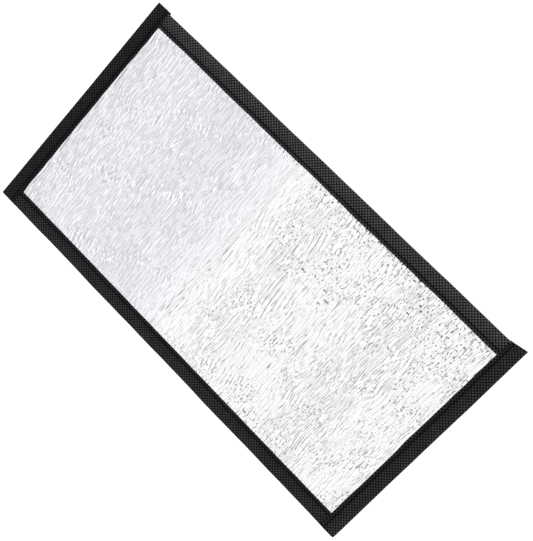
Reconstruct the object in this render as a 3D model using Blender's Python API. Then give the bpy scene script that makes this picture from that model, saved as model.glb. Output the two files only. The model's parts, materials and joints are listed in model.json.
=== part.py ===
"""Folding foam sleeping pad: closed-cell foam with a foil face, its four edges bound in woven tape.

Metres, +Z up. The pad lies open on the ground plane z = 0, foil face up, with its length along X and its
head end at -X. The origin is the middle of the footprint. One crease runs across the pad, nearer its head
end, and the head panel folds up and over it onto the foot panel, foil to foil.

How it is sewn: the two side tapes are folded over the long edges first. The two end tapes are folded over
the short edges afterwards, so at each corner an end tape wraps the end of a side tape. A lockstitch seam
holds each tape: its needle thread lies on the foil side and its bobbin thread on the ground side. The sheet,
the film, the side tapes and their threads are each one length on the real pad. They are parted here at the
crease, so that the two panels can turn on it.
"""

import math

import bmesh
import bpy
from mathutils import Vector

# Overall sizes
PAD_LENGTH = 0.955
PAD_WIDTH = 0.500  # over the ends of the end tapes
HEAD_PANEL_LENGTH = 0.425  # from the head end to the crease

# Foam sheet and foil film
FOAM_THICKNESS = 0.0070
FOAM_UNDER_TAPE = 0.0042  # the foam's thickness where the binding squeezes it
SQUEEZE_RUN = 0.0080  # how far the foam takes to recover beside the binding
FOIL_THICKNESS = 0.0004

# Binding tape, folded over the edge
TAPE_THICKNESS = 0.0008
TAPE_FACE = 0.0330  # how far a folded tape reaches in over each side of the pad
LEFT_SIDE_INSET = 0.0040  # the side tapes stand in from the ends of the end tapes
RIGHT_SIDE_INSET = 0.0010
CORNER_RAMP = 0.0090  # run over which an end tape comes down off a side tape
SLANTED_CUT = 0.0040  # how far the foot tape's left end is cut out of square

# Seams
STITCH_INSET = 0.0087  # from the tape's inner edge to the seam
SEAM_GROOVE_WIDTH = 0.0040
THREAD_WIDTH = 0.0008
THREAD_THICKNESS = 0.00025
THREAD_END_MARGIN = 0.0040

# Crease
CREASE_GAP = 0.0005  # between the two panels' facing ends
CREASE_WIDTH = 0.0120
CREASE_DEPTH = 0.0010
FOLD_CLEARANCE = 0.0002

CLEARANCE = 0.0003  # between pieces that touch
BEND_STEPS = 8  # flats round each half-round fold of a tape

# Heights of the layers, from the ground up
CORNER_STEP = TAPE_THICKNESS + CLEARANCE  # an end tape goes this much further round a side tape
TAPE_LOW = CORNER_STEP
LOWER_LEG_TOP = TAPE_LOW + TAPE_THICKNESS
EDGE_FOAM_LOW = LOWER_LEG_TOP + CLEARANCE
EDGE_FOAM_TOP = EDGE_FOAM_LOW + FOAM_UNDER_TAPE
EDGE_FOIL_LOW = EDGE_FOAM_TOP + CLEARANCE
EDGE_FOIL_TOP = EDGE_FOIL_LOW + FOIL_THICKNESS
UPPER_LEG_LOW = EDGE_FOIL_TOP + CLEARANCE
TAPE_TOP = UPPER_LEG_LOW + TAPE_THICKNESS
FOAM_LOW = TAPE_LOW
FOAM_TOP = FOAM_LOW + FOAM_THICKNESS
FOIL_LOW = FOAM_TOP + CLEARANCE
FOIL_TOP = FOIL_LOW + FOIL_THICKNESS
SEAM_GROOVE_DEPTH = THREAD_THICKNESS + CLEARANCE  # so that the threads lie flush with the tape

# Places along and across the pad
HEAD_X = -PAD_LENGTH / 2
FOOT_X = PAD_LENGTH / 2
CREASE_X = HEAD_X + HEAD_PANEL_LENGTH
LEFT_Y = PAD_WIDTH / 2 - LEFT_SIDE_INSET  # outer line of the left side tape
RIGHT_Y = -PAD_WIDTH / 2 + RIGHT_SIDE_INSET
SEAM_INWARD = TAPE_FACE - STITCH_INSET  # from a tape's outer line to its seam
SQUEEZE_START = TAPE_FACE + TAPE_THICKNESS  # from a tape's outer line to where the foam starts to rise
BEND_RADIUS = (TAPE_TOP - TAPE_LOW) / 2
CORNER_BEND_RADIUS = BEND_RADIUS + CORNER_STEP

# On the folded pad foil lies on foil, and the head panel's corners, one tape thicker, lie on the foot's side
# tapes.
FOLD_AXIS_Z = max(FOIL_TOP, TAPE_TOP + CORNER_STEP / 2) + FOLD_CLEARANCE


def clear_scene():
    for thing in list(bpy.data.objects):
        bpy.data.objects.remove(thing, do_unlink=True)


def make_material(name, colour, roughness, metallic=0.0):
    material = bpy.data.materials.new(name)
    material.use_nodes = True
    shader = material.node_tree.nodes["Principled BSDF"]
    shader.inputs["Base Color"].default_value = (*colour, 1.0)
    shader.inputs["Roughness"].default_value = roughness
    shader.inputs["Metallic"].default_value = metallic
    return material


def make_panel(name, location):
    """An empty that the pieces of one panel hang on. The head panel's empty sits on the fold axis."""
    panel = bpy.data.objects.new(name, None)
    panel.location = location
    bpy.context.scene.collection.objects.link(panel)
    return panel


def finish_piece(name, mesh_maker, material, panel):
    """Turns a bmesh in pad coordinates into an object whose origin is its panel's own."""
    bmesh.ops.recalc_face_normals(mesh_maker, faces=mesh_maker.faces)
    bmesh.ops.translate(mesh_maker, verts=mesh_maker.verts, vec=-panel.location)
    mesh = bpy.data.meshes.new(name)
    mesh_maker.to_mesh(mesh)
    mesh_maker.free()
    mesh.materials.append(material)
    mesh.shade_smooth()
    mesh.set_sharp_from_angle(angle=math.radians(35))
    piece = bpy.data.objects.new(name, mesh)
    piece.parent = panel
    bpy.context.scene.collection.objects.link(piece)
    return piece


# Foam sheet and foil film


def risen_share(end_x, x, y):
    """0 where the binding squeezes the sheet, 1 where it has its full thickness, and a ramp between."""
    from_end = abs(x - end_x)
    from_side = min(LEFT_Y - y, y - RIGHT_Y)
    share = (min(from_end, from_side) - SQUEEZE_START) / SQUEEZE_RUN
    return min(1.0, max(0.0, share))


def crease_dip(x):
    """How far the crease is pressed into the foil side at x."""
    share = 1.0 - abs(x - CREASE_X) / (CREASE_WIDTH / 2)
    return CREASE_DEPTH * max(0.0, share)


def panel_grid(end_x):
    """The lines across and along one panel on which a sheet's slope changes, from its end to the crease."""
    inward = 1.0 if end_x < CREASE_X else -1.0
    x_lines = [
        end_x + inward * BEND_RADIUS,
        end_x + inward * SQUEEZE_START,
        end_x + inward * (SQUEEZE_START + SQUEEZE_RUN),
        CREASE_X - inward * CREASE_WIDTH / 2,
        CREASE_X - inward * CREASE_GAP / 2,
    ]
    y_lines = [
        RIGHT_Y + BEND_RADIUS,
        RIGHT_Y + SQUEEZE_START,
        RIGHT_Y + SQUEEZE_START + SQUEEZE_RUN,
        LEFT_Y - SQUEEZE_START - SQUEEZE_RUN,
        LEFT_Y - SQUEEZE_START,
        LEFT_Y - BEND_RADIUS,
    ]
    return x_lines, y_lines


def make_sheet(name, end_x, under, over, edge_under, edge_over, dips_below, material, panel):
    """A sheet between two heights, which squeezes to two other heights under the binding.

    Every sheet splits its squares the same way, so that sheets that lie on each other stay apart."""
    x_lines, y_lines = panel_grid(end_x)
    sheet = bmesh.new()
    corners = [[sheet.verts.new((x, y, 0.0)) for y in y_lines] for x in x_lines]
    for i in range(len(x_lines) - 1):
        for j in range(len(y_lines) - 1):
            near, far = corners[i][j], corners[i + 1][j + 1]
            along, across = corners[i + 1][j], corners[i][j + 1]
            rise = [risen_share(end_x, v.co.x, v.co.y) for v in (near, far, along, across)]
            if abs(rise[0] - rise[1]) >= abs(rise[2] - rise[3]):
                triangles = ((near, along, far), (near, far, across))
            else:
                triangles = ((near, along, across), (along, far, across))
            for triangle in triangles:
                sheet.faces.new(triangle)
    extruded = bmesh.ops.extrude_face_region(sheet, geom=sheet.faces[:])
    upper = {v for v in extruded["geom"] if isinstance(v, bmesh.types.BMVert)}
    for v in sheet.verts:
        rise = risen_share(end_x, v.co.x, v.co.y)
        dip = crease_dip(v.co.x) * rise
        if v in upper:
            v.co.z = edge_over + (over - edge_over) * rise - dip
        else:
            v.co.z = edge_under + (under - edge_under) * rise - (dip if dips_below else 0.0)
    return finish_piece(name, sheet, material, panel)


def make_foam_core(name, end_x, material, panel):
    return make_sheet(
        name, end_x, FOAM_LOW, FOAM_TOP, EDGE_FOAM_LOW, EDGE_FOAM_TOP, False, material, panel
    )


def make_foil_face(name, end_x, material, panel):
    return make_sheet(
        name, end_x, FOIL_LOW, FOIL_TOP, EDGE_FOIL_LOW, EDGE_FOIL_TOP, True, material, panel
    )


# Binding tapes and their threads. A section is a list of (distance in from the tape's outer line, height).


def half_round(centre, radius, first, last):
    """Points on an arc from the first angle to the last, in degrees."""
    points = []
    for step in range(BEND_STEPS + 1):
        angle = math.radians(first + (last - first) * step / BEND_STEPS)
        points.append((centre[0] + radius * math.cos(angle), centre[1] + radius * math.sin(angle)))
    return points


def seam_groove(height, depth):
    """The dent that the seam pulls into a leg of the tape, from its inner side to its outer side."""
    half = SEAM_GROOVE_WIDTH / 2
    return [
        (SEAM_INWARD + half, height),
        (SEAM_INWARD + half / 2, height + depth),
        (SEAM_INWARD - half / 2, height + depth),
        (SEAM_INWARD - half, height),
    ]


def tape_section(lift):
    """The tape folded round the edge. A lift spreads both its legs, to go round another tape."""
    low, high = TAPE_LOW - lift, TAPE_TOP + lift
    outer = (high - low) / 2
    inner = outer - TAPE_THICKNESS
    centre = (outer, (low + high) / 2)
    section = [(TAPE_FACE, low), *seam_groove(low, SEAM_GROOVE_DEPTH)]
    section += half_round(centre, outer, 270, 90)
    section += list(reversed(seam_groove(high, -SEAM_GROOVE_DEPTH)))
    section += [(TAPE_FACE, high), (TAPE_FACE, high - TAPE_THICKNESS)]
    section += half_round(centre, inner, 90, 270)
    section += [(TAPE_FACE, low + TAPE_THICKNESS)]
    return section


def thread_section(low):
    half = THREAD_WIDTH / 2
    high = low + THREAD_THICKNESS
    near, far = SEAM_INWARD - half, SEAM_INWARD + half
    return [(near, low), (far, low), (far, high), (near, high)]


def needle_section(lift):
    return thread_section(TAPE_TOP + lift - SEAM_GROOVE_DEPTH + CLEARANCE)


def bobbin_section(lift):
    return thread_section(TAPE_LOW - lift + SEAM_GROOVE_DEPTH - CLEARANCE - THREAD_THICKNESS)


def make_strip(name, stations, section_at, inward, along, material, panel):
    """Lofts a section along one edge. A station is (point on the outer line, lift, how far it is cut back
    per metre inward)."""
    strip = bmesh.new()
    rings = []
    for start, lift, cut_back in stations:
        ring = []
        for distance, height in section_at(lift):
            place = start + inward * distance - along * distance * cut_back
            ring.append(strip.verts.new((place.x, place.y, height)))
        rings.append(ring)
    for ring, following in zip(rings, rings[1:]):
        for k in range(len(ring)):
            after = (k + 1) % len(ring)
            strip.faces.new((ring[k], ring[after], following[after], following[k]))
    strip.faces.new(rings[0])
    strip.faces.new(rings[-1])
    return finish_piece(name, strip, material, panel)


def end_stations(end_x, margin, slanted_cut):
    """Stations along an end tape: it is lifted over the side tapes at both corners."""
    ramp_right = RIGHT_Y + TAPE_FACE
    ramp_left = LEFT_Y - TAPE_FACE
    cut_back = slanted_cut / TAPE_FACE
    return [
        (Vector((end_x, -PAD_WIDTH / 2 + margin, 0)), CORNER_STEP, 0.0),
        (Vector((end_x, ramp_right, 0)), CORNER_STEP, 0.0),
        (Vector((end_x, ramp_right + CORNER_RAMP, 0)), 0.0, 0.0),
        (Vector((end_x, ramp_left - CORNER_RAMP, 0)), 0.0, 0.0),
        (Vector((end_x, ramp_left, 0)), CORNER_STEP, 0.0),
        (Vector((end_x, PAD_WIDTH / 2 - margin, 0)), CORNER_STEP, cut_back),
    ]


def make_end_binding(panel_name, end_x, slanted_cut, tape, thread, panel):
    """The tape over one short edge, and its seam."""
    inward = Vector((1 if end_x < CREASE_X else -1, 0, 0))
    along = Vector((0, 1, 0))
    seams = end_stations(end_x, THREAD_END_MARGIN + SLANTED_CUT, 0.0)
    make_strip(
        f"end_tape_{panel_name}",
        end_stations(end_x, 0.0, slanted_cut),
        tape_section,
        inward,
        along,
        tape,
        panel,
    )
    make_strip(f"end_needle_thread_{panel_name}", seams, needle_section, inward, along, thread, panel)
    make_strip(f"end_bobbin_thread_{panel_name}", seams, bobbin_section, inward, along, thread, panel)


def make_side_binding(side, panel_name, end_x, tape, thread, panel):
    """One panel's length of the tape over a long edge, and of its seam."""
    to_crease = 1 if end_x < CREASE_X else -1
    outer_y = LEFT_Y if side == "left" else RIGHT_Y
    inward = Vector((0, -1 if side == "left" else 1, 0))
    along = Vector((to_crease, 0, 0))
    crease_end = CREASE_X - to_crease * CREASE_GAP / 2

    def stations(start_x):
        return [(Vector((x, outer_y, 0)), 0.0, 0.0) for x in (start_x, crease_end)]

    tape_start = end_x + to_crease * CORNER_BEND_RADIUS
    seam_start = end_x + to_crease * (TAPE_FACE + THREAD_END_MARGIN)
    name = f"{side}_%s_{panel_name}"
    make_strip(name % "tape", stations(tape_start), tape_section, inward, along, tape, panel)
    make_strip(name % "needle_thread", stations(seam_start), needle_section, inward, along, thread, panel)
    make_strip(name % "bobbin_thread", stations(seam_start), bobbin_section, inward, along, thread, panel)


def make_pad():
    foam = make_material("closed_cell_foam", (0.80, 0.80, 0.79), 0.85)
    foil = make_material("aluminised_film", (0.86, 0.86, 0.88), 0.30, metallic=1.0)
    tape = make_material("woven_binding_tape", (0.022, 0.022, 0.024), 0.80)
    thread = make_material("sewing_thread", (0.012, 0.012, 0.013), 0.60)

    head = make_panel("head_panel", Vector((CREASE_X, 0, FOLD_AXIS_Z)))
    foot = make_panel("foot_panel", Vector((0, 0, 0)))
    bpy.context.view_layer.update()

    for panel_name, end_x, slanted_cut, panel in (
        ("head", HEAD_X, 0.0, head),
        ("foot", FOOT_X, SLANTED_CUT, foot),
    ):
        make_foam_core(f"foam_core_{panel_name}", end_x, foam, panel)
        make_foil_face(f"foil_face_{panel_name}", end_x, foil, panel)
        make_end_binding(panel_name, end_x, slanted_cut, tape, thread, panel)
        for side in ("left", "right"):
            make_side_binding(side, panel_name, end_x, tape, thread, panel)


clear_scene()
make_pad()
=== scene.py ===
# %% [markdown]
# # A foil-faced foam sleeping pad that folds in two
# The pad is a flat sheet of closed-cell foam with a crinkled metallised film on its upper face. Black woven
# tape is folded over all four edges and held by a line of lockstitch. One crease crosses the pad, so the
# shorter head panel folds over onto the foot panel.
#
# Everything here is made from four ideas: a loft (rings of points joined by faces), a height field (a grid
# whose points are moved up and down), a template copied along a line, and shader nodes for the finest
# detail.

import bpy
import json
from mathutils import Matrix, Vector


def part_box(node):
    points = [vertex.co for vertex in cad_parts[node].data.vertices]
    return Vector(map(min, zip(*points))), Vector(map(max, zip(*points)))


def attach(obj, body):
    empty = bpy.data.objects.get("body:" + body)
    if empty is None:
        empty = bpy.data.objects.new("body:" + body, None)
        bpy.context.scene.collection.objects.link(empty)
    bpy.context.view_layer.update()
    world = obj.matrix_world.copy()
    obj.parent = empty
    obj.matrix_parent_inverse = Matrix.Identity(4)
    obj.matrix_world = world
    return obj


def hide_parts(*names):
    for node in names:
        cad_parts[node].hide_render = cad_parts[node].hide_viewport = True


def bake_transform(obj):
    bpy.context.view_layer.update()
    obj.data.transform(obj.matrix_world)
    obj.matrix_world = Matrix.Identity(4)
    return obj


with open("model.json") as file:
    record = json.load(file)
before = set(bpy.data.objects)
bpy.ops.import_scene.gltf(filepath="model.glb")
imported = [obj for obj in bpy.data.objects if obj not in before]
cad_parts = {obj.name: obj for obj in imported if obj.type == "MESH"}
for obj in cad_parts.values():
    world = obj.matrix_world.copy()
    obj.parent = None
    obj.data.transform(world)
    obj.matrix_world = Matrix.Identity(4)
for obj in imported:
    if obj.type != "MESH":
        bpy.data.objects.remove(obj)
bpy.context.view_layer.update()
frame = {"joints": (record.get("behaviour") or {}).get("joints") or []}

# %% Modules and the unit
import json
import math

import bpy
import numpy as np
from mathutils import Matrix, Vector

MM = 0.001

# %% [markdown]
# ## Where things are
# +X runs from the head end to the foot end, +Y to the left side and +Z up out of the foil. The frame's
# plain solids already hold every edge and layer at its right place, so the sizes are read from their boxes.
# Writing them down again would let the two models drift apart.

# %% Read the edges and layers from the frame
head_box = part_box("end_tape_head")
foot_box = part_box("end_tape_foot")
left_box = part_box("left_tape_head")
right_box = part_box("right_tape_head")
foam_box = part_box("foam_core_head")
foil_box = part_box("foil_face_head")
HEAD_X = head_box[0].x
FOOT_X = foot_box[1].x
END_HALF_WIDTH = head_box[1].y
LEFT_Y = left_box[1].y
RIGHT_Y = right_box[0].y
TAPE_LOW = left_box[0].z
TAPE_TOP = left_box[1].z
TAPE_FACE = head_box[1].x - head_box[0].x
CORNER_LIFT = head_box[1].z - TAPE_TOP
FOAM_LOW = foam_box[0].z
FILM_TOP = foil_box[1].z
CREASE_X = frame["joints"][0]["pos_m"][0]
FOLD_Z = frame["joints"][0]["pos_m"][2]
FOLD_REACH = 7 * MM  # the pad bends this far to each side of the crease
print(f"tape reaches in {TAPE_FACE / MM:.1f} mm, crease at {CREASE_X / MM:.1f} mm")

# %% [markdown]
# ## The camera
# A long lens looks steeply down at the pad, which lies across the picture from upper left to lower right. A
# camera's direction is easiest to give as a place, a point to look at, and which way along the pad is up.

# %% Place the camera
CAMERA_PLACE = Vector((0.2591, 0.3057, 1.4502))
CAMERA_AIM = Vector((0.0376, 0.0237, 0.0085))
CAMERA_UP = Vector((-0.6968, 0.7165, -0.0331))
camera_data = bpy.data.cameras.new("camera")
camera_data.lens = 52.15
camera_data.sensor_width = 36.0
camera = bpy.data.objects.new("camera", camera_data)
bpy.context.scene.collection.objects.link(camera)
bpy.context.scene.camera = camera
backward = (CAMERA_PLACE - CAMERA_AIM).normalized()
rightward = CAMERA_UP.cross(backward).normalized()
upward = backward.cross(rightward)
turn = Matrix((rightward, upward, backward)).transposed().to_4x4()
camera.matrix_world = Matrix.Translation(CAMERA_PLACE) @ turn
print(f"camera {CAMERA_PLACE.length:.2f} m away, {math.degrees(math.asin(backward.z)):.0f} degrees up")

# %% [markdown]
# ## Helpers for grids of points
# Tape, film and foam are all grids: rows of points that follow an edge or cross the pad. NumPy moves a
# whole grid at once, which is quick enough for the hundred thousand points that a crinkled film needs.


# %% Stations along a line, closer together at the crease
def stations(start, end, pitch, fold_pitch=0.5 * MM):
    plain = np.linspace(start, end, round((end - start) / pitch) + 1)
    near = np.arange(CREASE_X - FOLD_REACH, CREASE_X + FOLD_REACH, fold_pitch)
    far = plain[np.abs(plain - CREASE_X) > FOLD_REACH + 0.4 * pitch]
    return np.sort(np.concatenate([far, near]))


# %% Ease from 0 to 1
def ease(value, start, end):
    share = np.clip((value - start) / (end - start), 0, 1)
    return share * share * (3 - 2 * share)


# %% A slow wander, so that no edge is ruled straight
def wander(along, amount, seed):
    phases = np.random.default_rng(seed).uniform(0, 2 * math.pi, 4)
    wavelengths = (0.31, 0.17, 0.083, 0.047)
    waves = [np.sin(2 * math.pi * along / w + p) * w for w, p in zip(wavelengths, phases)]
    return amount * sum(waves) / sum(wavelengths)


# %% Turn a grid of points into an object
def object_from_faces(name, points, faces, cloth=None):
    mesh = bpy.data.meshes.new(name)
    mesh.from_pydata(points.reshape(-1, 3).tolist(), [], faces)
    if cloth is not None:
        attribute = mesh.attributes.new("cloth", "FLOAT_VECTOR", "POINT")
        attribute.data.foreach_set("vector", cloth.reshape(-1).astype(np.float32))
    mesh.shade_smooth()
    made = bpy.data.objects.new(name, mesh)
    bpy.context.scene.collection.objects.link(made)
    return made


def grid_faces(rows, columns, wrap=False, first=0):
    index = first + np.arange(rows * columns).reshape(rows, columns)
    ahead = np.roll(index, -1, axis=1)
    if not wrap:
        index, ahead = index[:, :-1], ahead[:, :-1]
    quads = np.stack([index[:-1], ahead[:-1], ahead[1:], index[1:]], axis=-1)
    return quads.reshape(-1, 4).tolist()


# %% [markdown]
# ## The pad's outline
# The side tapes aren't quite parallel to the pad's length: on the left the pad is a few millimetres wider
# at the head. The film and the foam are cut to the same outline, so one function gives it to all of them.

# %% Outline of the long sides
LEFT_TAPER = 2 * MM
LEFT_TRIM = 0.9 * MM
RIGHT_OVERHANG = 2.5 * MM


def left_line(x):
    return LEFT_Y - LEFT_TRIM - LEFT_TAPER * x / FOOT_X + wander(x, 0.5 * MM, 11)


def right_line(x):
    return RIGHT_Y - RIGHT_OVERHANG + wander(x, 0.8 * MM, 12)


def distance_from_edge(x, y):
    """How far a point of the pad lies in from the nearest outer line."""
    ends = np.minimum(x - HEAD_X, FOOT_X - x)
    sides = np.minimum(left_line(x) - y, y - right_line(x))
    return np.minimum(ends, sides)


print(f"width at the head {(left_line(HEAD_X) - right_line(HEAD_X)) / MM:.1f} mm")

# %% [markdown]
# ## Where the tape dips and swells
# The seam pulls the tape down into the foam, and the foam swells under the tape beside it. The tape, its
# threads, the film and the foam all need the same numbers, so they come first.

# %% Sizes of the binding
TAPE_THICKNESS = 0.8 * MM
BEND_RADIUS = (TAPE_TOP - TAPE_LOW) / 2
TAPE_MIDDLE_Z = (TAPE_TOP + TAPE_LOW) / 2
SEAM_INWARD = 26.3 * MM  # from the outer line to the seam
SEAM_DIP = 0.8 * MM
SEAM_DIP_REACH = 1.9 * MM
FACE_SWELL = 0.1 * MM
LIP_DROP = 0.25 * MM
STITCH_PITCH = 3.4 * MM
YARN_PITCH = 3.6 * MM
WEAVE_RELIEF = 0.1 * MM
FABRIC_STEP = 0.92 * MM

# %% [markdown]
# ## The binding tape
# A tape is one strip folded lengthwise over the edge. It could be a flat strip bent with a Curve modifier,
# but a loft gives more control: a section of the fold is swept along the edge, and each point of it is then
# pushed out or in along its normal. That makes the seam's dent, the swell of the foam, and the yarns
# themselves.
#
# Each point also remembers where it lies on the flat tape, along it and across it, in metres. The weave's
# shader uses those numbers, so the yarns go round the fold as they do on real tape.


# %% The section of a folded tape
def tape_section(lift):
    """Points (inward, height), outward normals and place across the flat tape, from the top inner edge round
    the fold to the bottom inner edge. A lift spreads both legs to go round another tape."""
    radius = BEND_RADIUS + lift
    leg = TAPE_FACE - radius
    leg_steps = round((TAPE_FACE - BEND_RADIUS) / FABRIC_STEP)
    bend_steps = round(math.pi * BEND_RADIUS / FABRIC_STEP)
    share = np.linspace(0, 1, leg_steps + 1)
    angle = np.pi / 2 + np.pi * np.linspace(0, 1, bend_steps + 1)[1:-1]
    top = np.stack([TAPE_FACE - leg * share, np.full_like(share, TAPE_MIDDLE_Z + radius)], -1)
    bend = np.stack([radius + radius * np.cos(angle), TAPE_MIDDLE_Z + radius * np.sin(angle)], -1)
    bottom = np.stack([top[::-1, 0], np.full_like(share, TAPE_MIDDLE_Z - radius)], -1)
    normals = np.zeros((2 * len(share) + len(angle), 2))
    normals[: len(share), 1] = 1
    normals[len(share) : -len(share)] = np.stack([np.cos(angle), np.sin(angle)], -1)
    normals[-len(share) :, 1] = -1
    return np.concatenate([top, bend, bottom]), normals


flat_section, section_normals = tape_section(0.0)
section_steps = np.linalg.norm(np.diff(flat_section, axis=0), axis=1)
across_tape = np.concatenate([[0.0], np.cumsum(section_steps)])
TAPE_WIDTH = across_tape[-1]
lift_slope = (tape_section(CORNER_LIFT)[0] - flat_section) / CORNER_LIFT
print(f"the flat tape is {TAPE_WIDTH / MM:.1f} mm wide, cut into {len(across_tape)} points")


# %% How far each point stands out from the plain fold
def weave_height(along, across):
    """Yarns over and under each other: 0 in the gaps, 1 on the crown of each yarn."""
    crossing = np.sin(np.pi * along / YARN_PITCH) * np.sin(np.pi * across / YARN_PITCH)
    return np.sqrt(np.abs(crossing))


def tape_offset(along, across, swell_seed):
    inward = np.minimum(across, TAPE_WIDTH - across)
    from_seam = inward - (TAPE_FACE - SEAM_INWARD)
    dimple = 1 - 0.35 * np.cos(2 * np.pi * along / STITCH_PITCH)
    dip = -SEAM_DIP * dimple * np.exp(-((from_seam / SEAM_DIP_REACH) ** 2))
    swell = FACE_SWELL * np.sin(np.pi * ease(from_seam, 0, TAPE_WIDTH / 2))
    drop = -LIP_DROP * ease(-from_seam, 0.3 * SEAM_INWARD, TAPE_FACE - SEAM_INWARD)
    lumps = wander(along, 0.12 * MM, swell_seed) * ease(from_seam, 0, 4 * MM)
    weave = WEAVE_RELIEF * (weave_height(along, across) - 0.6)
    return dip + swell + drop + lumps + weave


# %% Sweep the section along an edge
def make_binding(name, along, outer_line, inward, lift, seed, wider, painted_side_light, end_slant=0.0):
    """outer_line gives a point on the edge for each place along it, and lift how far the legs spread there.
    wider is how much further than the plain tape this one reaches in, at its start and at its end.
    Its painted side light sets how pale its yarns are painted: a painted light and shade that differs by how
    light falls on each side."""
    section = flat_section[None] + lift[:, None, None] * lift_slope[None]
    offset = tape_offset(along[:, None], across_tape[None], seed)
    outside = section + offset[..., None] * section_normals[None]
    hem = np.linspace(*wider, len(along))[:, None] + wander(along, 0.9 * MM, seed + 40)[:, None]
    lip_share = ease(outside[..., 0], SEAM_INWARD, TAPE_FACE)
    outside[..., 0] += hem * lip_share
    keep = np.unique(np.linspace(0, len(across_tape) - 1, 15).round().astype(int))
    inside = section[:, keep] - TAPE_THICKNESS * section_normals[None, keep]
    inside[..., 0] += hem * ease(inside[..., 0], SEAM_INWARD, TAPE_FACE)
    ring = np.concatenate([outside, inside[:, ::-1]], axis=1)
    start = outer_line(along)
    direction = np.gradient(start, axis=0)
    direction /= np.linalg.norm(direction, axis=1)[:, None]
    points = start[:, None, :] + ring[..., :1] * np.array(inward, float)
    near_end = ease(along, along[-1] - TAPE_FACE, along[-1])
    cut_back = end_slant * near_end[:, None] * ring[..., 0] / TAPE_FACE
    points -= direction[:, None, :] * cut_back[..., None]
    points[..., 2] = ring[..., 1]
    across = np.concatenate([across_tape, across_tape[keep][::-1]])
    cloth = np.zeros_like(points)
    cloth[..., 0] = along[:, None]
    cloth[..., 1] = across[None]
    # The third value is the tape's painted side light.
    cloth[..., 2] = painted_side_light
    rows, columns = ring.shape[:2]
    faces = grid_faces(rows, columns, wrap=True)
    faces.append(list(range(columns))[::-1])
    faces.append(list(range((rows - 1) * columns, rows * columns)))
    made = object_from_faces(name, points, faces, cloth)
    facing_out(made)
    return made


def facing_out(made):
    """Turns a closed mesh's faces outward, judged by the sign of its volume."""
    mesh = made.data
    mesh.calc_loop_triangles()
    corners = np.empty(len(mesh.loop_triangles) * 3, np.int32)
    mesh.loop_triangles.foreach_get("vertices", corners)
    places = np.empty(len(mesh.vertices) * 3, np.float32)
    mesh.vertices.foreach_get("co", places)
    a, b, c = places.reshape(-1, 3)[corners.reshape(-1, 3)].astype(float).transpose(1, 0, 2)
    if np.einsum("ij,ij->", a, np.cross(b, c)) < 0:
        mesh.flip_normals()


# %% [markdown]
# ## Side tapes first, end tapes over them
# The side tapes stop just inside the fold of the end tapes. The end tapes go on last, so they ride up over
# the side tapes at each corner. At the foot the left end of the tape was cut at a slant, which leaves a
# small ear.

# %% Make the four tapes
SIDE_START = HEAD_X + BEND_RADIUS + CORNER_LIFT
SIDE_END = FOOT_X - BEND_RADIUS - CORNER_LIFT
EAR_SLANT = 6 * MM
RAMP = 9 * MM
side_places = stations(SIDE_START, SIDE_END, FABRIC_STEP)


def left_edge(x):
    return np.stack([x, left_line(x), np.zeros_like(x)], -1)


def right_edge(x):
    return np.stack([x, right_line(x), np.zeros_like(x)], -1)


no_lift = np.zeros_like(side_places)
# The last number of each tape paints light and shade by side: the left tape is painted lightest and the head
# tape darkest.
left_binding = make_binding(
    "left_binding", side_places, left_edge, (0, -1, 0), no_lift, 1, wider=(0.2 * MM, 1.2 * MM), painted_side_light=1.4
)
right_binding = make_binding(
    "right_binding", side_places, right_edge, (0, 1, 0), no_lift, 2, wider=(0.6 * MM, -0.6 * MM), painted_side_light=0.68
)


def end_lift(y):
    from_left = LEFT_Y - y
    from_right = y - RIGHT_Y
    nearest = np.minimum(from_left, from_right)
    return CORNER_LIFT * (1 - ease(nearest, TAPE_FACE, TAPE_FACE + RAMP))


def end_binding(name, end_x, inward, seed, wider, painted_side_light, end_slant=0.0):
    places = np.linspace(-END_HALF_WIDTH, END_HALF_WIDTH, round(2 * END_HALF_WIDTH / FABRIC_STEP) + 1)

    def edge(y):
        return np.stack([end_x + wander(y, 0.3 * MM, seed), y, np.zeros_like(y)], -1)

    return make_binding(name, places, edge, (inward, 0, 0), end_lift(places), seed, wider, painted_side_light, end_slant)


head_binding = end_binding("head_binding", HEAD_X, 1, 3, wider=(2.0 * MM, -0.5 * MM), painted_side_light=0.43)
foot_binding = end_binding(
    "foot_binding", FOOT_X, -1, 4, wider=(1.6 * MM, 2.6 * MM), painted_side_light=0.72, end_slant=EAR_SLANT
)
bindings = (left_binding, right_binding, head_binding, foot_binding)
print("tape faces:", [len(b.data.polygons) for b in bindings])

# %% [markdown]
# ## The seams
# A lockstitch shows one row of short stitches on each face, and each stitch dives into the tape at both
# ends. A dashed texture could fake it, but a stitch is simple to model: one small bent tube, made once as a
# template and copied along the seam.

# %% One stitch as a template
THREAD_RADIUS = 0.3 * MM
STITCH_GAP = 0.5 * MM
STITCH_DIVE = 0.7 * MM
STITCH_RINGS = 9
STITCH_SIDES = 7


def stitch_template():
    """Points (along, sideways, up) of a stitch centred on the seam, ring by ring."""
    share = np.linspace(-1, 1, STITCH_RINGS)
    along = share * (STITCH_PITCH - STITCH_GAP) / 2
    up = -STITCH_DIVE * np.abs(share) ** 4
    angle = 2 * np.pi * np.arange(STITCH_SIDES) / STITCH_SIDES
    radius = THREAD_RADIUS * (1 - 0.25 * np.abs(share) ** 6)
    ring = np.zeros((STITCH_RINGS, STITCH_SIDES, 3))
    ring[..., 0] = along[:, None]
    ring[..., 1] = radius[:, None] * np.cos(angle)
    ring[..., 2] = up[:, None] + radius[:, None] * np.sin(angle)
    return ring


template = stitch_template()
template_faces = grid_faces(STITCH_RINGS, STITCH_SIDES, wrap=True)
template_faces.append(list(range(STITCH_SIDES))[::-1])
template_faces.append(list(range((STITCH_RINGS - 1) * STITCH_SIDES, STITCH_RINGS * STITCH_SIDES)))
print("a stitch has", template.shape[0] * template.shape[1], "points")


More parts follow.
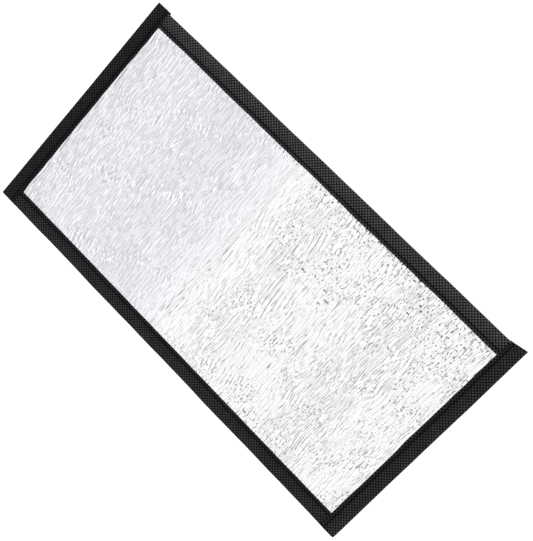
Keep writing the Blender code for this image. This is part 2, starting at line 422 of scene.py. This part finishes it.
# %% Copy the stitch along a seam
def make_seam(name, start, end, edge, inward, lift_at, side):
    """side is 1 for the needle thread on the foil side and -1 for the bobbin thread underneath."""
    count = math.floor((end - start) / STITCH_PITCH)
    first = math.ceil(start / STITCH_PITCH)
    middles = (first + 0.5 + np.arange(count - 1)) * STITCH_PITCH
    nudge = np.random.default_rng(len(name)).normal(0, 0.08 * MM, (len(middles), 2))
    inward = np.array(inward, float)
    centre = edge(middles) + (SEAM_INWARD + nudge[:, :1]) * inward
    rest = BEND_RADIUS - 0.75 * SEAM_DIP + 0.5 * THREAD_RADIUS + lift_at(middles)
    centre[:, 2] = TAPE_MIDDLE_Z + side * rest
    run = np.array([abs(inward[1]), abs(inward[0]), 0.0])
    points = (
        centre[:, None, None, :]
        + template[None, ..., :1] * run
        + template[None, ..., 1:2] * inward
        + template[None, ..., 2:] * np.array([0, 0, side])
    )
    per_stitch = STITCH_RINGS * STITCH_SIDES
    faces = [[i + k * per_stitch for i in face] for k in range(len(middles)) for face in template_faces]
    cloth = np.zeros_like(points)
    cloth[..., 0] = middles[:, None, None] + template[None, ..., 0]
    cloth[..., 1] = np.broadcast_to(np.arange(STITCH_SIDES) * THREAD_RADIUS, points.shape[:-1])
    made = object_from_faces(name, points, faces, cloth)
    facing_out(made)
    return made


def level(along):
    return np.zeros_like(along)


def head_edge(y):
    return np.stack([np.full_like(y, HEAD_X), y, np.zeros_like(y)], -1)


def foot_edge(y):
    return np.stack([np.full_like(y, FOOT_X), y, np.zeros_like(y)], -1)


# %% Make the eight threads
SEAM_END_MARGIN = 8 * MM
side_seam = (HEAD_X + TAPE_FACE + STITCH_PITCH, FOOT_X - TAPE_FACE - STITCH_PITCH)
end_seam = (RIGHT_Y + SEAM_END_MARGIN, LEFT_Y - SEAM_END_MARGIN)
seams = {}
for side, thread in ((1, "needle"), (-1, "bobbin")):
    for name, span, edge, inward, lift_at in (
        ("left", side_seam, left_edge, (0, -1, 0), level),
        ("right", side_seam, right_edge, (0, 1, 0), level),
        ("head", end_seam, head_edge, (1, 0, 0), end_lift),
        ("foot", end_seam, foot_edge, (-1, 0, 0), end_lift),
    ):
        title = f"{name}_{thread}_stitches"
        seams[name, thread] = make_seam(title, *span, edge, inward, lift_at, side)
print("stitch faces:", sum(len(s.data.polygons) for s in seams.values()))

# %% [markdown]
# ## The crinkled film
# The film is heat-bonded to soft foam, so it takes thousands of short sharp creases, nearly all of them
# across the pad. Cloth simulation makes broad soft folds, not these. They are pressed in one at a time
# instead: each crease is a small ridge with a sharp crest, long across the pad and narrow along it. They
# are shorter on the foot panel.

# %% Points in rows across the pad, between its two long outlines
LAYER_INSET = BEND_RADIUS  # film and foam stop this far short of the outer line


def pad_grid(x, rows):
    low_side = right_line(x) + LAYER_INSET
    high_side = left_line(x) - LAYER_INSET
    share = np.linspace(0, 1, rows)
    y = low_side[:, None] + (high_side - low_side)[:, None] * share[None]
    return np.repeat(x[:, None], rows, axis=1), y


# %% A grid for the film
FILM_STEP_X = 1.0 * MM
FILM_STEP_Y = 4.9 * MM
film_x = stations(HEAD_X + LAYER_INSET, FOOT_X - LAYER_INSET, FILM_STEP_X)
film_rows = round((LEFT_Y - RIGHT_Y) / FILM_STEP_Y)
grid_x, grid_y = pad_grid(film_x, film_rows)
film_width = LEFT_Y - RIGHT_Y - 2 * LAYER_INSET
plain_y = RIGHT_Y + LAYER_INSET + film_width * np.linspace(0, 1, film_rows)
print("film grid", grid_x.shape)


# %% Press one ridge into a height field
def press_ridge(height, x, y, half_length, half_width, rise, slant):
    reach_x = 4 * half_width + half_length * abs(math.sin(slant))
    i, i_end = np.searchsorted(film_x, (x - reach_x, x + reach_x))
    j, j_end = np.searchsorted(plain_y, (y - half_length, y + half_length))
    dx = film_x[i:i_end, None] - x
    dy = plain_y[None, j:j_end] - y
    along = dy * math.cos(slant) + dx * math.sin(slant)
    across = dx * math.cos(slant) - dy * math.sin(slant)
    taper = np.clip(1 - (along / half_length) ** 2, 0, 1)
    height[i:i_end, j:j_end] += rise * taper * np.exp(-np.abs(across) / half_width)


# %% Thousands of short creases
CREASE_COUNT = 11000
crinkle = np.zeros_like(grid_x)
dice = np.random.default_rng(21)
for _ in range(CREASE_COUNT):
    x = dice.uniform(HEAD_X, FOOT_X)
    y = dice.uniform(RIGHT_Y, LEFT_Y)
    half_length = dice.uniform(6, 20) * MM * (1 if x < CREASE_X else 0.65)
    half_width = dice.uniform(0.8, 1.7) * MM
    rise = dice.normal(0.02, 0.15) * MM
    slant = dice.normal(math.radians(-6), math.radians(11))
    press_ridge(crinkle, x, y, half_length, half_width, rise, slant)
print(f"crinkles stand {crinkle.std() / MM:.2f} mm (one sigma)")

# %% [markdown]
# The short creases are stronger on the foot panel, most of all along its left side. Under them the film
# lies in shallow lumps over the foam, and it puckers in ripples that run across the pad and are deeper on
# the head panel. Where the pad has been folded there are two plain lines with a shallow valley between
# them.


# %% Add long waves that cross each other
def slow_waves(x, y, count, shortest, longest, height):
    total = np.zeros_like(x)
    for _ in range(count):
        wavelength = dice.uniform(shortest, longest)
        heading = dice.uniform(0, math.pi)
        phase = dice.uniform(0, 2 * math.pi)
        place = x * math.cos(heading) + y * math.sin(heading)
        total += height * np.sin(2 * np.pi * place / wavelength + phase)
    return total


# %% Lumps and liveliness
on_foot_panel = ease(grid_x, CREASE_X - 20 * MM, CREASE_X + 90 * MM)
on_left_side = ease(grid_y, -0.02, LEFT_Y)
liveliness = 0.7 + on_foot_panel * (0.3 + 0.3 * on_left_side)
lumps = slow_waves(grid_x, grid_y, 14, 35 * MM, 110 * MM, 0.06 * MM)
liveliness += on_foot_panel * slow_waves(grid_x, grid_y, 10, 60 * MM, 180 * MM, 0.07)
print(f"liveliness runs from {liveliness.min():.2f} to {liveliness.max():.2f}")

# %% Ripples
RIPPLE_PITCH = 8.6 * MM
RIPPLE_HEIGHT = 0.3 * MM
RIPPLE_SLANT = math.radians(6)  # at the head, and none at the foot
drift = slow_waves(grid_x, grid_y, 8, 45 * MM, 160 * MM, 0.9 * MM)
lean = math.tan(RIPPLE_SLANT) * (1 - ease(grid_x, 0.0, FOOT_X))
ripple_place = grid_x + grid_y * lean + drift
ripple = np.abs(np.sin(np.pi * ripple_place / RIPPLE_PITCH)) - 0.5
ripple *= RIPPLE_HEIGHT * (1.3 - 0.3 * on_foot_panel)
print(f"ripples are up to {np.ptp(ripple) / MM:.2f} mm from trough to crest")

# %% The crease
FOLD_LINE_OFFSET = 5.6 * MM
FOLD_LINE_WIDTH = 2.2 * MM
FOLD_LINE_HEIGHT = 0.6 * MM
VALLEY_WIDTH = 7 * MM
VALLEY_DEPTH = 0.6 * MM
from_crease = grid_x - CREASE_X
towards_left = ease(grid_y, -0.1, 0.1)
head_line = np.exp(-np.abs(from_crease + FOLD_LINE_OFFSET) / FOLD_LINE_WIDTH) * (0.5 + towards_left)
foot_line = np.exp(-np.abs(from_crease - FOLD_LINE_OFFSET) / FOLD_LINE_WIDTH) * (1.4 - towards_left)
valley = np.exp(-((from_crease / VALLEY_WIDTH) ** 2))

# %% [markdown]
# Under the tape the film is held down. It climbs from the seam to its own level over about two centimetres,
# and only where it is free of the tape does it crease, ripple and lie in lumps. It stays below the hinge
# line, so the two panels' foil can meet when the pad is folded.

# %% Put the film's height together
FILM_CLEARANCE = 0.8 * MM
CREST_CLEARANCE = 0.1 * MM
FILM_UNDER_TAPE = TAPE_TOP - TAPE_THICKNESS - FILM_CLEARANCE
FILM_LEVEL = FILM_TOP - 0.9 * MM
edge_distance = distance_from_edge(grid_x, grid_y)
climb = ease(edge_distance, SEAM_INWARD + 1 * MM, TAPE_FACE + 16 * MM)
free = ease(edge_distance, TAPE_FACE - 2 * MM, TAPE_FACE + 3 * MM)
puckers = (crinkle * liveliness + ripple) * (1 - 0.8 * valley)
fold_mark = FOLD_LINE_HEIGHT * (head_line + foot_line) - VALLEY_DEPTH * valley
film_z = FILM_UNDER_TAPE + (FILM_LEVEL - FILM_UNDER_TAPE) * climb
film_z += free * (puckers + lumps + fold_mark)
film_z = np.minimum(film_z, FOLD_Z - CREST_CLEARANCE)

# %% Make the film
film_points = np.stack([grid_x, grid_y, film_z], -1)
film_cloth = np.stack([grid_x, grid_y, liveliness], -1)
film = object_from_faces("foil_film", film_points, grid_faces(*grid_x.shape), film_cloth)
print("film faces", len(film.data.polygons), "highest", round(film_z.max() / MM, 2), "mm")

# %% [markdown]
# ## The foam
# The foam is one closed slab, squeezed thin between the legs of the tape and back to its full thickness
# beside them. Its underside shows, so it is a height field too, with the faint lumps of blown foam. Its
# upper face is hidden, and lies low enough to stay clear of the film's creases.

# %% A grid for the foam
FOAM_STEP_X = 3.3 * MM
FOAM_STEP_Y = 3.6 * MM
foam_x = stations(HEAD_X + LAYER_INSET, FOOT_X - LAYER_INSET, FOAM_STEP_X)
slab_x, slab_y = pad_grid(foam_x, round((LEFT_Y - RIGHT_Y) / FOAM_STEP_Y))

# %% Heights of the foam's two faces
TAPE_GAP = 0.2 * MM
FILM_GAP = 0.3 * MM
EDGE_FOAM_LOW = TAPE_LOW + TAPE_THICKNESS + TAPE_GAP
EDGE_FOAM_TOP = FILM_UNDER_TAPE - FILM_GAP
FOAM_LEVEL = FILM_LEVEL - 1.3 * MM
CREASE_DENT = 0.5 * MM
risen = ease(distance_from_edge(slab_x, slab_y), TAPE_FACE, TAPE_FACE + 9 * MM)
blown = slow_waves(slab_x, slab_y, 12, 16 * MM, 60 * MM, 0.035 * MM)
dent = CREASE_DENT * np.exp(-(((slab_x - CREASE_X) / (2.5 * MM)) ** 2))
lower_z = EDGE_FOAM_LOW + (FOAM_LOW - EDGE_FOAM_LOW + blown + dent) * risen
upper_z = EDGE_FOAM_TOP + (FOAM_LEVEL - EDGE_FOAM_TOP) * risen
foam_depth = FOAM_LEVEL - FOAM_LOW
squeezed_depth = EDGE_FOAM_TOP - EDGE_FOAM_LOW
print(f"the foam is {foam_depth / MM:.1f} mm thick, and {squeezed_depth / MM:.1f} mm inside the tape")


# %% Close a slab from its two faces
def slab_faces(rows, columns):
    """Faces of two grids, the lower first, and of the wall round them."""
    faces = grid_faces(rows, columns)
    faces += [face[::-1] for face in grid_faces(rows, columns, first=rows * columns)]
    rim = [i * columns for i in range(rows)]
    rim += [(rows - 1) * columns + j for j in range(1, columns)]
    rim += [i * columns + columns - 1 for i in range(rows - 2, -1, -1)]
    rim += list(range(columns - 2, 0, -1))
    shift = rows * columns
    return faces + [[a, b, b + shift, a + shift] for a, b in zip(rim, rim[1:] + rim[:1])]


lower = np.stack([slab_x, slab_y, lower_z], -1)
upper = np.stack([slab_x, slab_y, upper_z], -1)
slab_points = np.concatenate([lower.reshape(-1, 3), upper.reshape(-1, 3)])
foam = object_from_faces("foam_sheet", slab_points, slab_faces(*slab_x.shape), slab_points)
facing_out(foam)
print("foam faces", len(foam.data.polygons))

# %% [markdown]
# ## Finishes
# The finest detail is in the materials. Effects that more than one finish needs are node groups, built
# once: the twist of a yarn, which the tape and the thread share, and a soft mottle, which nothing real is
# without.


# %% Short names for wiring nodes
SMOOTH = {"interpolation_type": "SMOOTHSTEP"}
COLOUR = {"data_type": "RGBA"}


def add_node(tree, kind, settings=None, **values):
    node = tree.nodes.new(kind)
    for key, value in (settings or {}).items():
        setattr(node, key, value)
    for key, value in values.items():
        node.inputs[key.replace("_", " ")].default_value = value
    return node


def math_node(tree, operation, first, second=None):
    node = tree.nodes.new("ShaderNodeMath")
    node.operation = operation
    for socket, value in zip(node.inputs, (first, second)):
        if value is None:
            continue
        if hasattr(value, "links"):
            tree.links.new(value, socket)
        else:
            socket.default_value = value
    return node.outputs[0]


def new_group(name, inputs, outputs):
    group = bpy.data.node_groups.new(name, "ShaderNodeTree")
    for title, kind, value in inputs:
        socket = group.interface.new_socket(title, in_out="INPUT", socket_type=kind)
        if value is not None:
            socket.default_value = value
    for title in outputs:
        group.interface.new_socket(title, in_out="OUTPUT", socket_type="NodeSocketFloat")
    return group, group.nodes.new("NodeGroupInput"), group.nodes.new("NodeGroupOutput")


# %% Group: soft mottle
mottle, mottle_in, mottle_out = new_group(
    "soft_mottle",
    (("Place", "NodeSocketVector", None), ("Scale", "NodeSocketFloat", 10.0), ("Low", "NodeSocketFloat", 0.0),
     ("High", "NodeSocketFloat", 1.0)),
    ("Value",),
)
cloud = add_node(mottle, "ShaderNodeTexNoise", Detail=4.0, Roughness=0.55)
spread = add_node(mottle, "ShaderNodeMapRange", From_Min=0.3, From_Max=0.7)
mottle.links.new(mottle_in.outputs["Place"], cloud.inputs["Vector"])
mottle.links.new(mottle_in.outputs["Scale"], cloud.inputs["Scale"])
mottle.links.new(cloud.outputs["Fac"], spread.inputs["Value"])
mottle.links.new(mottle_in.outputs["Low"], spread.inputs["To Min"])
mottle.links.new(mottle_in.outputs["High"], spread.inputs["To Max"])
mottle.links.new(spread.outputs["Result"], mottle_out.inputs["Value"])

# %% [markdown]
# A yarn's fibres run round it at a slant. In the flat tape's own coordinates that is a set of slanted
# stripes, which is all the group draws. The tape turns them into fibres within each yarn and the thread
# into its plies.

# %% Group: twist of a yarn
twist, twist_in, twist_out = new_group(
    "yarn_twist",
    (("Place", "NodeSocketVector", None), ("Pitch", "NodeSocketFloat", 0.001),
     ("Lean", "NodeSocketFloat", 1.0)),
    ("Height",),
)
parts = add_node(twist, "ShaderNodeSeparateXYZ")
twist.links.new(twist_in.outputs["Place"], parts.inputs[0])
leaned = math_node(twist, "MULTIPLY", parts.outputs["Y"], twist_in.outputs["Lean"])
slanted = math_node(twist, "ADD", parts.outputs["X"], leaned)
turns = math_node(twist, "DIVIDE", slanted, twist_in.outputs["Pitch"])
wave = math_node(twist, "SINE", math_node(twist, "MULTIPLY", turns, 2 * math.pi))
half = math_node(twist, "MULTIPLY", wave, 0.5)
twist.links.new(math_node(twist, "ADD", half, 0.5), twist_out.inputs["Height"])


# %% A material with its shader
def new_material(name, **values):
    material = bpy.data.materials.new(name)
    material.use_nodes = True
    shader = material.node_tree.nodes["Principled BSDF"]
    for key, value in values.items():
        shader.inputs[key.replace("_", " ")].default_value = value
    return material, material.node_tree, shader


def place_group(tree, group, place, **values):
    node = tree.nodes.new("ShaderNodeGroup")
    node.node_tree = group
    tree.links.new(place, node.inputs["Place"])
    for key, value in values.items():
        node.inputs[key].default_value = value
    return node.outputs[0]


def cloth_place(tree):
    return add_node(tree, "ShaderNodeAttribute", {"attribute_name": "cloth"}).outputs["Vector"]


def bump(tree, shader, height, distance, strength=1.0):
    node = add_node(tree, "ShaderNodeBump", Distance=distance, Strength=strength)
    tree.links.new(height, node.inputs["Height"])
    tree.links.new(node.outputs["Normal"], shader.inputs["Normal"])


# %% [markdown]
# ## Woven tape
# The mesh already carries each yarn as relief. The material works out the same crossings. It paints shade
# into the gaps and a highlight on the yarns on top, brighter than on those that dive under, and draws fibres
# along both.

# %% Material: woven tape, its crossings
# Painted shade in the gaps between the yarns, and a painted highlight on their crowns.
YARN_GAP_SHADE = (0.005, 0.005, 0.0053, 1)
YARN_CROWN_HIGHLIGHT = (0.1, 0.1, 0.105, 1)
tape, tree, shader = new_material("woven_tape", Roughness=0.6, Specular_IOR_Level=0.04)
place = cloth_place(tree)
parts = add_node(tree, "ShaderNodeSeparateXYZ")
tree.links.new(place, parts.inputs[0])
along_wave = math_node(tree, "SINE", math_node(tree, "MULTIPLY", parts.outputs["X"], math.pi / YARN_PITCH))
across_wave = math_node(tree, "SINE", math_node(tree, "MULTIPLY", parts.outputs["Y"], math.pi / YARN_PITCH))
crossing = math_node(tree, "MULTIPLY", along_wave, across_wave)
# Where the yarn crowns get their painted highlight.
crown_highlight = add_node(tree, "ShaderNodeMapRange", SMOOTH, From_Min=-0.45, From_Max=0.75)
tree.links.new(crossing, crown_highlight.inputs["Value"])
fibres = place_group(tree, twist, place, Pitch=0.00042, Lean=0.35)

# %% [markdown]
# Wear and a painted highlight grey the crowns of the yarns, most of all on the fold. Towards the inner lip
# they fall off in a painted shade, and the seam's dent keeps a painted shade. How far is in the third cloth
# value, a painted side light that differs from tape to tape.

# %% Woven tape: where it is rubbed pale, with painted shade at the seam and the inner lip
worn = place_group(tree, mottle, place, Scale=60.0, Low=0.75, High=1.2)
across_fold = math_node(tree, "ABSOLUTE", math_node(tree, "SUBTRACT", parts.outputs["Y"], TAPE_WIDTH / 2))
# Paler on the fold and darker towards the inner lip: partly wear, partly painted shade on the lip.
fold_wear_and_lip_shade = add_node(tree, "ShaderNodeMapRange", From_Max=TAPE_WIDTH / 2, To_Min=1.5, To_Max=0.8)
tree.links.new(across_fold, fold_wear_and_lip_shade.inputs["Value"])
seam_across = math_node(tree, "SUBTRACT", across_fold, TAPE_WIDTH / 2 - TAPE_FACE + SEAM_INWARD)
# Painted shade in the seam's dent.
seam_dent_shade = add_node(tree, "ShaderNodeMapRange", SMOOTH)
seam_dent_shade.inputs["From Min"].default_value = 0.4 * MM
seam_dent_shade.inputs["From Max"].default_value = 2.6 * MM
seam_dent_shade.inputs["To Min"].default_value = 0.2
tree.links.new(math_node(tree, "ABSOLUTE", seam_across), seam_dent_shade.inputs["Value"])
amount = math_node(tree, "MULTIPLY", crown_highlight.outputs["Result"], worn)
amount = math_node(tree, "MULTIPLY", amount, seam_dent_shade.outputs["Result"])
amount = math_node(tree, "MULTIPLY", amount, math_node(tree, "ADD", fibres, 0.35))
amount = math_node(tree, "MULTIPLY", amount, fold_wear_and_lip_shade.outputs["Result"])
# The tape's own painted side light.
amount = math_node(tree, "MULTIPLY", amount, parts.outputs["Z"])
yarn_colour = add_node(tree, "ShaderNodeMix", {"data_type": "RGBA", "clamp_factor": False})
yarn_colour.inputs["A"].default_value = YARN_GAP_SHADE
yarn_colour.inputs["B"].default_value = YARN_CROWN_HIGHLIGHT
tree.links.new(amount, yarn_colour.inputs["Factor"])
tree.links.new(yarn_colour.outputs["Result"], shader.inputs["Base Color"])
fibre_height = math_node(tree, "MULTIPLY", fibres, 0.25)
height = math_node(tree, "ADD", math_node(tree, "ABSOLUTE", crossing), fibre_height)
bump(tree, shader, height, 0.12 * MM)

# %% [markdown]
# ## Thread, foam and film
# The thread is smoother than the tape and shows its plies. The foam is a skin of tiny cells, so a Voronoi
# pattern gives each a soft dome. The film is real metal colour: Metallic is 1, and what shows is almost
# entirely what it reflects, so its job is mostly to have the right creases and the right roughness.

# %% Material: sewing thread
thread_material, tree, shader = new_material(
    "sewing_thread", Base_Color=(0.005, 0.005, 0.0055, 1), Roughness=0.5, Specular_IOR_Level=0.06
)
place = cloth_place(tree)
plies = place_group(tree, twist, place, Pitch=0.0007, Lean=0.6)
bump(tree, shader, plies, 0.08 * MM)

# %% Material: closed-cell foam
FOAM_GREY = (0.74, 0.745, 0.74, 1)
FOAM_PALE = (0.84, 0.84, 0.83, 1)
foam_material, tree, shader = new_material("closed_cell_foam", Specular_IOR_Level=0.35)
place = cloth_place(tree)
cells = add_node(tree, "ShaderNodeTexVoronoi", {"feature": "SMOOTH_F1"}, Scale=420.0, Smoothness=0.4)
tree.links.new(place, cells.inputs["Vector"])
pores = add_node(tree, "ShaderNodeTexNoise", Scale=1500.0, Detail=2.0)
tree.links.new(place, pores.inputs["Vector"])
shade = place_group(tree, mottle, place, Scale=22.0, Low=0.0, High=1.0)
foam_colour = add_node(tree, "ShaderNodeMix", COLOUR)
foam_colour.inputs["A"].default_value = FOAM_GREY
foam_colour.inputs["B"].default_value = FOAM_PALE
tree.links.new(shade, foam_colour.inputs["Factor"])
tree.links.new(foam_colour.outputs["Result"], shader.inputs["Base Color"])
tree.links.new(place_group(tree, mottle, place, Scale=90.0, Low=0.5, High=0.75), shader.inputs["Roughness"])
pore_height = math_node(tree, "MULTIPLY", pores.outputs["Fac"], 0.3)
surface = math_node(tree, "ADD", cells.outputs["Distance"], pore_height)
bump(tree, shader, surface, 0.35 * MM, 0.8)

# %% [markdown]
# The film is a slightly rough metal. On the head panel its colour is darker and bluer, which is a painted
# shade.

# %% Material: metallised film
# The head panel's darker, bluer colour is a painted shade.
HEAD_FILM_SHADE = (0.85, 0.838, 0.882, 1)
FOOT_FILM = (0.95, 0.95, 0.965, 1)
# The colour of the dark specks, a painted reflection of dark surroundings.
FILM_SPECK_SHADE = (0.08, 0.08, 0.085, 1)
film_material, tree, shader = new_material("metallised_film", Metallic=1.0)
place = cloth_place(tree)
parts = add_node(tree, "ShaderNodeSeparateXYZ")
tree.links.new(place, parts.inputs[0])
panel = add_node(tree, "ShaderNodeMapRange", SMOOTH)
panel.inputs["From Min"].default_value = CREASE_X - 90 * MM
panel.inputs["From Max"].default_value = CREASE_X + 50 * MM
tree.links.new(parts.outputs["X"], panel.inputs["Value"])
film_colour = add_node(tree, "ShaderNodeMix", COLOUR)
film_colour.inputs["A"].default_value = HEAD_FILM_SHADE
film_colour.inputs["B"].default_value = FOOT_FILM
tree.links.new(panel.outputs["Result"], film_colour.inputs["Factor"])
tree.links.new(place_group(tree, mottle, place, Scale=35.0, Low=0.07, High=0.13), shader.inputs["Roughness"])

# %% [markdown]
# Two more effects are noise stretched across the pad: fine streaks, and small dark specks. The specks are a
# painted reflection of dark surroundings, and they also dent the bump. The third cloth value is the film's
# liveliness, not a height, so the noise leaves it out.


# %% Noise on the flat film, stretched across the pad
flat_place = add_node(tree, "ShaderNodeCombineXYZ")
tree.links.new(parts.outputs["X"], flat_place.inputs["X"])
tree.links.new(parts.outputs["Y"], flat_place.inputs["Y"])


def stretched_noise(squash, scale, detail):
    stretch = add_node(tree, "ShaderNodeMapping", Scale=(1.0, squash, 1.0))
    tree.links.new(flat_place.outputs[0], stretch.inputs["Vector"])
    noise = add_node(tree, "ShaderNodeTexNoise", Scale=scale, Detail=detail)
    tree.links.new(stretch.outputs["Vector"], noise.inputs["Vector"])
    return noise.outputs["Fac"]


# %% Metallised film: painted dark reflections as specks where it is lively
# The dark specks are a painted reflection of dark surroundings, and they also dent the bump.
speck_spots = add_node(tree, "ShaderNodeMapRange", SMOOTH, From_Min=0.65, From_Max=0.75)
tree.links.new(stretched_noise(squash=0.5, scale=310.0, detail=0.0), speck_spots.inputs["Value"])
lively = add_node(tree, "ShaderNodeMapRange", From_Min=0.85, From_Max=1.45)
tree.links.new(parts.outputs["Z"], lively.inputs["Value"])
dark_speck_mask = math_node(tree, "MULTIPLY", speck_spots.outputs["Result"], lively.outputs["Result"])
speck_shade = add_node(tree, "ShaderNodeMix", COLOUR)
tree.links.new(dark_speck_mask, speck_shade.inputs["Factor"])
tree.links.new(film_colour.outputs["Result"], speck_shade.inputs["A"])
speck_shade.inputs["B"].default_value = FILM_SPECK_SHADE
tree.links.new(speck_shade.outputs["Result"], shader.inputs["Base Color"])

# %% Metallised film: fine streaks, fainter on the foot panel
streak_share = add_node(tree, "ShaderNodeMapRange", To_Min=0.95, To_Max=0.5)
tree.links.new(panel.outputs["Result"], streak_share.inputs["Value"])
fine_lines = stretched_noise(squash=0.27, scale=118.0, detail=1.0)
streaks = math_node(tree, "MULTIPLY", fine_lines, streak_share.outputs["Result"])
bump(tree, shader, math_node(tree, "ADD", streaks, dark_speck_mask), 0.5 * MM)

# %% [markdown]
# ## Hand the pieces to the frame
# Film, foam, side tapes and their threads are continuous over the crease, so they are attached to neither
# panel. The end tapes and their threads each belong to one panel.

# %% Materials, bodies and replaced solids
HEAD, FOOT = "head_panel", "foot_panel"


def dress(piece, material, nodes, body=None):
    piece.data.materials.append(material)
    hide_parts(*nodes)
    if body:
        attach(piece, body)
    else:
        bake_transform(piece)


dress(film, film_material, ("foil_face_head", "foil_face_foot"))
dress(foam, foam_material, ("foam_core_head", "foam_core_foot"))
for piece, side in ((left_binding, "left"), (right_binding, "right")):
    dress(piece, tape, (f"{side}_tape_head", f"{side}_tape_foot"))
for piece, end, body in ((head_binding, "head", HEAD), (foot_binding, "foot", FOOT)):
    dress(piece, tape, (f"end_tape_{end}",), body)
for (edge_name, thread), seam in seams.items():
    if edge_name in ("head", "foot"):
        body = HEAD if edge_name == "head" else FOOT
        dress(seam, thread_material, (f"end_{thread}_thread_{edge_name}",), body)
    else:
        nodes = [f"{edge_name}_{thread}_thread_{panel_name}" for panel_name in ("head", "foot")]
        dress(seam, thread_material, nodes)

# %% [markdown]
# ## Floor and light
# Foil shows the studio more than itself. Broad lamps hang over the foot panel, so it goes white. Its
# creases mirror the dimmer gaps between them as grey lines, and turn dark where they tip past the lamps'
# edge. A plain screen hangs over the head panel, a little darker. Its ripples catch three brighter strips
# as pale streaks. The room is pale at the sides and dark overhead, because a reflection adds the room to
# any lamp before it.

# %% Floor
floor_mesh = bpy.data.meshes.new("floor")
FLOOR_HALF = 12.0
corners = [(-FLOOR_HALF, -FLOOR_HALF, 0), (FLOOR_HALF, -FLOOR_HALF, 0), (FLOOR_HALF, FLOOR_HALF, 0),
           (-FLOOR_HALF, FLOOR_HALF, 0)]
floor_mesh.from_pydata(corners, [], [(0, 1, 2, 3)])
floor = bpy.data.objects.new("floor", floor_mesh)
bpy.context.scene.collection.objects.link(floor)
floor_material, tree, shader = new_material(
    "pale_floor", Base_Color=(0.9, 0.9, 0.9, 1), Roughness=0.9, Specular_IOR_Level=0.0,
    Emission_Color=(1, 1, 1, 1), Emission_Strength=0.75
)
floor_mesh.materials.append(floor_material)


# %% Lamps
def soft_lamp(name, place, size, radiance):
    """A rectangular lamp facing down. radiance is how bright it looks when mirrored."""
    lamp = bpy.data.lights.new(name, "AREA")
    lamp.shape = "RECTANGLE"
    lamp.size, lamp.size_y = size
    lamp.energy = radiance * math.pi * size[0] * size[1]
    holder = bpy.data.objects.new(name, lamp)
    holder.location = place
    bpy.context.scene.collection.objects.link(holder)
    return holder


LAMP_HEIGHT = 2.0
STRIP_HEIGHT = LAMP_HEIGHT - 0.05  # of two lamps in one plane, a reflection would show only one
FOOT_LAMP_PITCH = 0.55
HEAD_LAMP_PITCH = 0.66
soft_lamp("foot_screen", (0.6, -0.55, LAMP_HEIGHT), (2.1, 2.1), 0.22)
for number in range(4):
    place = (-0.23 + FOOT_LAMP_PITCH * number, -0.55, STRIP_HEIGHT)
    soft_lamp(f"foot_lamp_{number}", place, (0.42, 2.1), 0.76)
soft_lamp("head_screen", (-1.5, -0.4, LAMP_HEIGHT), (2.1, 2.6), 0.6)
for number in range(3):
    place = (-0.82 - HEAD_LAMP_PITCH * number, -0.4, STRIP_HEIGHT)
    soft_lamp(f"head_lamp_{number}", place, (0.25, 2.6), 0.55)

# %% Room
WALL_TONE = (0.9, 0.9, 0.91, 1)
CEILING_TONE = (0.12, 0.12, 0.122, 1)
world = bpy.data.worlds.new("studio")
bpy.context.scene.world = world
world.use_nodes = True
tree = world.node_tree
background = tree.nodes["Background"]
direction = add_node(tree, "ShaderNodeSeparateXYZ")
tree.links.new(add_node(tree, "ShaderNodeTexCoord").outputs["Generated"], direction.inputs[0])
overhead = add_node(tree, "ShaderNodeMapRange", SMOOTH, From_Min=0.35, From_Max=0.75)
tree.links.new(direction.outputs["Z"], overhead.inputs["Value"])
room = add_node(tree, "ShaderNodeMix", COLOUR)
room.inputs["A"].default_value = WALL_TONE
room.inputs["B"].default_value = CEILING_TONE
tree.links.new(overhead.outputs["Result"], room.inputs["Factor"])
tree.links.new(room.outputs["Result"], background.inputs["Color"])
bpy.context.scene.view_settings.view_transform = "Standard"
bpy.context.scene.view_settings.look = "None"
